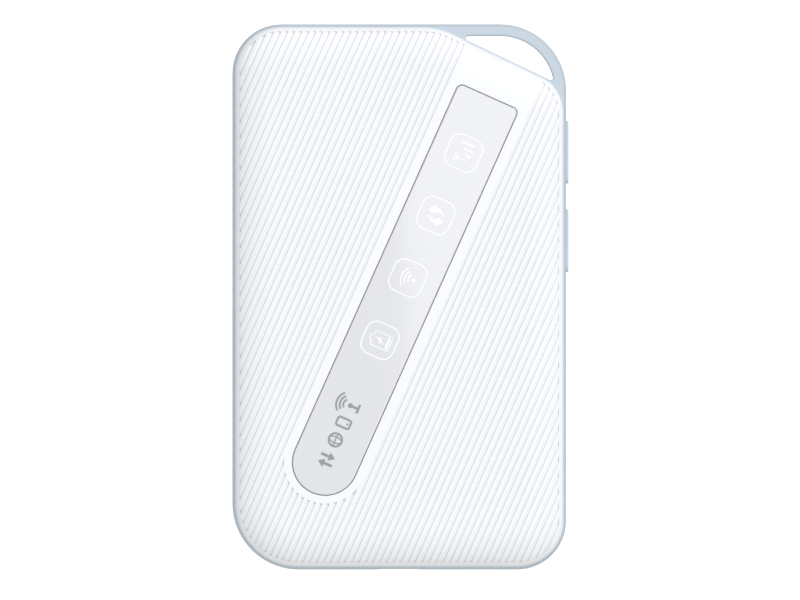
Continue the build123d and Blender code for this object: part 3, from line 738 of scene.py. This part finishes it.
def facing(points):  # a pictogram's own (right, up) to the window's (across, along)
    return [(-y, x) for x, y in points]


def curved(points, rounds=2):  # softens an outline's corners
    for _ in range(rounds):
        points = [
            (a[0] * (1 - t) + b[0] * t, a[1] * (1 - t) + b[1] * t)
            for a, b in zip(points, points[1:] + points[:1])
            for t in (0.22, 0.78)
        ]
    return points


def turnedOver(points):
    return [(-x, -y) for x, y in points]


def boxAround(x, y, width, height, corner):
    w, h = width / 2, height / 2
    corners = [(x - w, y + h), (x + w, y + h), (x + w, y - h), (x - w, y - h)]
    return [tuple(p) for p in roundCorners(corners, [corner] * 4, 15)]


def waveArcs(centre, radii, spread, width):
    return [(arcPoints(0, centre, r, 90 - spread, 90 + spread), width, False) for r in radii]


# A pictogram is its lines, each with a width and whether it closes, and its filled shapes


def squareGlyph():
    half = glyphs["square"] / 2
    corners = [(-half, half), (half, half), (half, -half), (-half, -half)]
    square = [tuple(p) for p in roundCorners(corners, [glyphs["squareCorner"]] * 4, 6)]
    return [(square, glyphs["line"], True)], []


def signalGlyph():
    thin = glyphs["thin"]
    lines = [([(-1.13, -1.42), (-1.13, 1.25)], thin, False)]
    lines.append(([(-1.93, 1.3), (-0.33, 1.3), (-1.13, 0.38)], thin, True))
    heights = (0.85, 1.72, 2.7)
    return lines, [boxAround(-0.24 + k, -1.42 + h / 2, 0.4, h, 0.1) for k, h in enumerate(heights)]


def arrowsGlyph():
    arrow = [(0.48, 1.66), (1.19, 1.38), (1.82, 0.62), (1.4, 0.40), (1.36, -0.28), (0.92, -1.08)]
    arrow += [(0.24, -1.7), (0.52, -1.0), (0.74, -0.3), (0.66, 0.27), (0.22, 0.18), (0.17, 0.94)]
    return [], [curved(arrow), turnedOver(curved(arrow))]


def wavesGlyph():
    lines = []
    for radius, centre, spread in ((2.62, -1.42, 43), (1.74, -1.2, 46), (0.95, -1.05, 50)):
        lines += waveArcs(centre, [radius], spread, glyphs["wave"])
    return lines, [circle(0, -1.14, 0.36, 20)]


def batteryGlyph():
    side = [(-1.33, -2.0), (-1.33, 1.38), (-0.5, 1.38), (-0.5, 1.9)]
    body = side + [(-x, y) for x, y in reversed(side)]
    radii = [0.22, 0.22, 0.08, 0.16, 0.16, 0.08, 0.22, 0.22]
    outline = [tuple(p) for p in roundCorners(body, radii, 18)]
    half = [(0.41, 1.07), (0.35, 0.27), (0.76, 0.13), (0.1, -0.24)]
    return [(outline, glyphs["thin"], True)], [half + turnedOver(half), boxAround(0, -1.48, 2.05, 0.44, 0.08)]


def trafficGlyph():
    up = [(-0.95, -1.35), (-0.95, 0.2), (-1.5, 0.2), (-0.7, 1.35), (0.1, 0.2), (-0.45, 0.2), (-0.45, -1.35)]
    return [], [up, turnedOver(up)]


def globeGlyph():
    thin = glyphs["globeLine"]
    ring = circle(0, 0, 1.2, 36)
    oval = [(0.46 * x, y) for x, y in ring]
    return [(ring, glyphs["globeRing"], True), (oval, thin, True), ([(-1.15, 0), (1.15, 0)], thin, False)], []


def phoneGlyph():
    return [(boxAround(0, 0, 1.6, 2.5, 0.35), glyphs["phone"], True)], [circle(0, -0.72, 0.2, 16)]


def mastGlyph():
    mast = ([(0, -1.3), (0, 0.1)], glyphs["mast"], False)
    foot = ([(-0.85, -1.3), (0.85, -1.3)], glyphs["mast"], False)
    return [mast, foot], [circle(0, 0.25, 0.45, 20)]


def outerWavesGlyph():
    return waveArcs(-0.05, [0.98, 1.62, 2.26], 50, glyphs["outerWave"]), []


def glyphSolids(glyph, u, v):
    low = lensHigh.z - glyphs["sink"]
    high = low + glyphs["thickness"]
    lines, shapes = glyph
    solids = []
    for points, width, closed in lines:
        solids.append(ribbonSolid(facing(points), width, closed, (u, v), low, high))
    return solids + [prism("fill", tilted(facing(outline), u=u, v=v), low, high) for outline in shapes]


def printed(name, solids, finish):  # one clean piece out of overlapping strokes
    whole = solids[0]
    whole.name = name
    for solid in solids[1:]:
        cut(whole, solid, "UNION")
    dress(whole, finishes[finish])
    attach(whole, "root")
    return whole


def makePictograms():
    solids = []
    for place, glyph in zip(lampPlaces, (batteryGlyph, wavesGlyph, arrowsGlyph, signalGlyph)):
        solids += glyphSolids(squareGlyph(), place, 0) + glyphSolids(glyph(), place, 0)
    return printed("pictograms", solids, "ink")


def makeMarks():  # at the round end: traffic, globe, phone, and a mast with its waves
    places = [(trafficGlyph, -32.0, 0.0), (globeGlyph, -28.1, 0.0), (phoneGlyph, -24.7, 0.1)]
    places += [(mastGlyph, -21.4, 0.2), (outerWavesGlyph, -21.4, -0.42)]
    solids = []
    for glyph, u, v in places:
        solids += glyphSolids(glyph(), u, v)
    return printed("endMarks", solids, "mark")


lens = makeLens()
smooth(lens, window["smoothAngle"])
dress(lens, finishes["lens"])
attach(lens, "root")
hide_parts("window_lens")
makePictograms()
makeMarks()
print("window and pictograms made")

# Finishes on the pieces that keep their own shape

wear = {
    "shell": ["back_cover"],
    "frame": ["mid_frame"],
    "key": ["power_button", "function_button"],
    "tape": ["lens_tape"],
    "board": ["main_board"],
    "steel": ["case_screws", "usb_shell", "sim_shell"],
    "tin": ["modem_shield", "radio_shield"],
    "gold": ["battery_pads", "contact_springs", "antenna_springs"],
    "black": ["battery_cap", "contact_block", "usb_tongue", "sim_base", "light_baffle"]
    + ["power_switch", "function_switch", "reset_switch", "modem_chip", "memory_chip"]
    + ["radio_chip", "power_chip", "board_coils"],
    "ivory": ["power_plunger", "function_plunger", "reset_plunger"],
    "foam": ["battery_foam"],
    "pad": ["thermal_pad"],
    "wrap": ["battery_pack"],
    "film": ["light_film"],
    "lamp": ["status_lamps"],
    "copper": ["main_antenna", "wireless_antenna"],
}
for finish, names in wear.items():
    for name in names:
        nodes[name].data.materials.clear()
        nodes[name].data.materials.append(finishes[finish])
print("finishes given")

# Floor, light and camera

studio = {
    "floorSize": 6.0,
    "floorGap": 2e-5,  # under the object
    "floorColour": (0.98, 0.98, 0.98),
    "floorGrain": 8.0,
    "floorRoughness": (0.86, 0.95),
    "floorGlow": 0.45,
    "floorBounce": 0.6,
    "sky": 0.755,
    "keyRadiance": 2.4,
    "keySize": (0.62, 0.9),
    "lightHeight": 1.75,
    "edge": 0.00146,  # the key light's left edge, seen in the window
    "turn": 2.3,  # degrees
    "sidePlace": (1.2, 1.2, 1.1),
    "sideSize": 0.9,
    "sideShare": 1.0,
}

view = {
    "lens": 1000.0,
    "sensor": 36.0,
    "width": 143.8,  # what is seen across, at the height of the case's middle
    "centre": (0.12, -0.56),
    "reach": 10.0,
}


def makeFloor():
    size = studio["floorSize"] / 2
    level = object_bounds()[0].z - studio["floorGap"]
    mesh = bpy.data.meshes.new("floor")
    corners = [(-size, -size, level), (size, -size, level), (size, size, level), (-size, size, level)]
    mesh.from_pydata(corners, [], [(0, 1, 2, 3)])
    floor = toObject(mesh, "floor")
    material, tree, shader = startMaterial("floorPale", studio["floorColour"], 0.9, Specular_IOR_Level=0.1)
    rough = addRange(tree, addNoise(tree, studio["floorGrain"]), *studio["floorRoughness"])
    tree.links.new(rough, shader.inputs["Roughness"])
    shader.inputs["Emission Color"].default_value = (1, 1, 1, 1)
    shader.inputs["Emission Strength"].default_value = studio["floorGlow"]
    dim = tree.nodes.new("ShaderNodeEmission")  # what the object sees of the floor
    dim.inputs["Strength"].default_value = studio["floorBounce"]
    material.cycles.emission_sampling = "NONE"  # even light on what rests on it
    clear = tree.nodes.new("ShaderNodeBsdfTransparent")
    path = tree.nodes.new("ShaderNodeLightPath")
    side = tree.nodes.new("ShaderNodeNewGeometry")
    seen = tree.nodes.new("ShaderNodeMixShader")
    mix = tree.nodes.new("ShaderNodeMixShader")  # clear from below, so that the back can be looked at
    tree.links.new(path.outputs["Is Camera Ray"], seen.inputs["Fac"])
    tree.links.new(dim.outputs[0], seen.inputs[1])
    tree.links.new(shader.outputs[0], seen.inputs[2])
    tree.links.new(side.outputs["Backfacing"], mix.inputs["Fac"])
    tree.links.new(seen.outputs[0], mix.inputs[1])
    tree.links.new(clear.outputs[0], mix.inputs[2])
    tree.links.new(mix.outputs[0], tree.nodes["Material Output"].inputs["Surface"])
    dress(floor, material)


def softbox(name, place, width, length, radiance):  # faces down until it is turned
    data = bpy.data.lights.new(name, "AREA")
    data.shape = "RECTANGLE"
    data.size, data.size_y = width, length
    data.energy = radiance * math.pi * width * length
    lamp = bpy.data.objects.new(name, data)
    lamp.location = place
    scene.collection.objects.link(lamp)
    return lamp


def makeStudio():
    makeFloor()
    world = bpy.data.worlds.new("sky")
    world.use_nodes = True
    world.node_tree.nodes["Background"].inputs["Color"].default_value = (1, 1, 1, 1)
    world.node_tree.nodes["Background"].inputs["Strength"].default_value = studio["sky"]
    scene.world = world
    width, length = studio["keySize"]
    height = studio["lightHeight"]
    turn = math.radians(studio["turn"])
    place = (studio["edge"] + width / 2 * math.cos(turn), width / 2 * math.sin(turn), height)
    softbox("keyLight", place, width, length, studio["keyRadiance"]).rotation_euler.z = turn
    place = Vector(studio["sidePlace"])
    size = studio["sideSize"]
    radiance = studio["sideShare"] * place.length_squared / size**2
    side = softbox("sideLight", place, size, size, radiance)
    side.rotation_euler = place.to_track_quat("Z", "Y").to_euler()


def makeCamera():
    data = bpy.data.cameras.new("camera")
    data.lens = view["lens"]
    data.sensor_width = view["sensor"]
    data.clip_end = view["reach"]
    distance = view["width"] * unit * data.lens / data.sensor_width
    right, up = view["centre"]
    middle = (frameLow + frameHigh) / 2
    camera = bpy.data.objects.new("camera", data)
    camera.location = (right * unit, up * unit, middle.z * unit + distance)
    scene.collection.objects.link(camera)
    scene.camera = camera


makeStudio()
makeCamera()
scene.view_settings.view_transform = "Standard"
print("studio ready")
